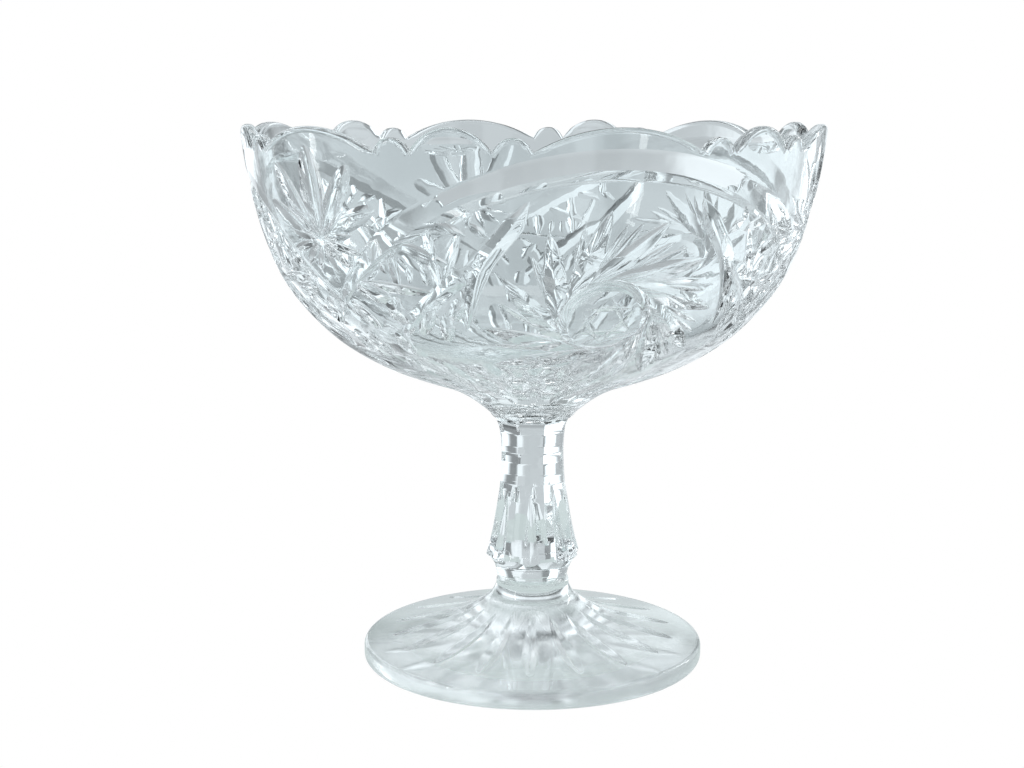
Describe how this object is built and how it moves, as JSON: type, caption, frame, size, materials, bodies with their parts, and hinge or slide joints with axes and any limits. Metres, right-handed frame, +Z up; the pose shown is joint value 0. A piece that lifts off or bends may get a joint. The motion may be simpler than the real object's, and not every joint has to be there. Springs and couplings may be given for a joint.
{
  "type": "stemmed punch bowl",
  "caption": "Clear cut-crystal punch bowl on a faceted stem with a knop and a round petal foot; deep round bowl with a scalloped rim, for serving drinks or fruit.",
  "frame": {"origin": "centre of the foot's resting ring, on the surface that the bowl stands on", "axes": "+Z up along the stem's axis; -Y is the side where the first of the three pinwheels of the cut pattern is"},
  "size_m": [0.25, 0.25, 0.2375],
  "materials": {
    "crystal": "clear polished lead crystal, colourless with a faint cool tint"
  },
  "bodies": {
    "root": {"bowl": "crystal", "stem": "crystal", "foot": "crystal"}
  },
  "joints": []
}
